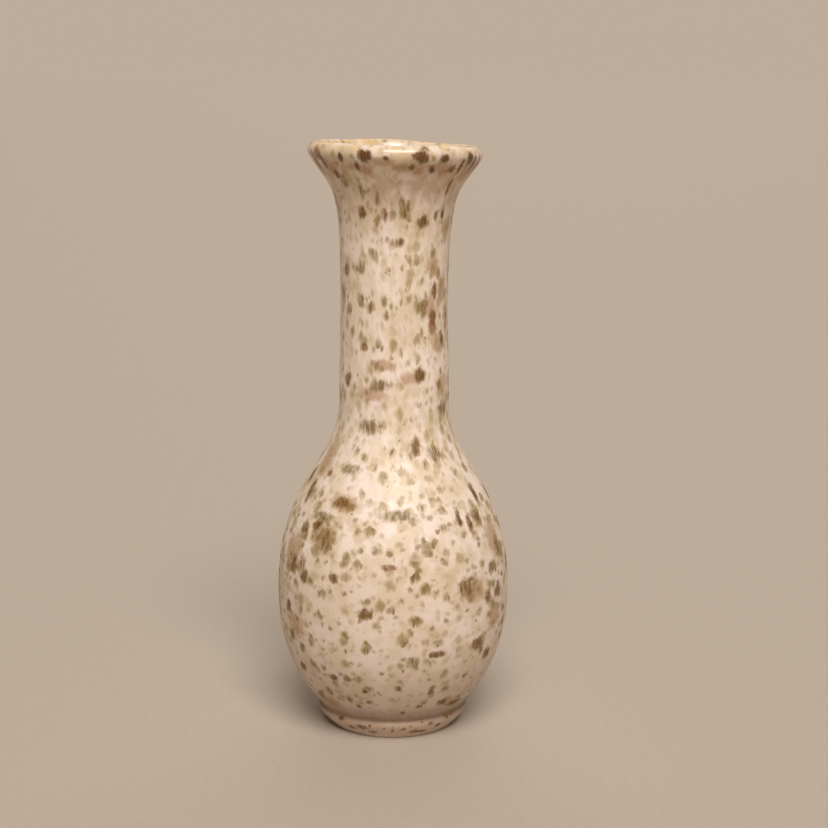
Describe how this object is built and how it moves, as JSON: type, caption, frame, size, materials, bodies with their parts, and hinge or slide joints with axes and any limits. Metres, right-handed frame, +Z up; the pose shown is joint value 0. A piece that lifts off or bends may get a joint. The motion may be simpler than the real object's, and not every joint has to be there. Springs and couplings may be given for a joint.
{
  "type": "bud vase",
  "caption": "Glazed ceramic bud vase with a round belly on a tapered foot, a long narrow neck and a flared mouth with a rounded lip.",
  "frame": {"origin": "on the table, at the centre of the foot", "axes": "+Z up the vase's axis, from the foot to the mouth; the vase is round, and -Y is the side seen in the reference view"},
  "size_m": [0.0794, 0.0794, 0.2],
  "materials": {
    "clay": "bare fired clay, matt",
    "speckled_glaze": "glossy cream glaze with olive-brown speckles",
    "liner_glaze": "glossy honey-cream liner glaze"
  },
  "bodies": {
    "root": {"foot_ring": "clay", "base_disc": "clay", "lower_belly": "clay", "upper_belly": "clay", "neck": "clay", "mouth_flare": "clay", "outer_glaze": "speckled_glaze", "inner_glaze": "liner_glaze"}
  },
  "joints": []
}
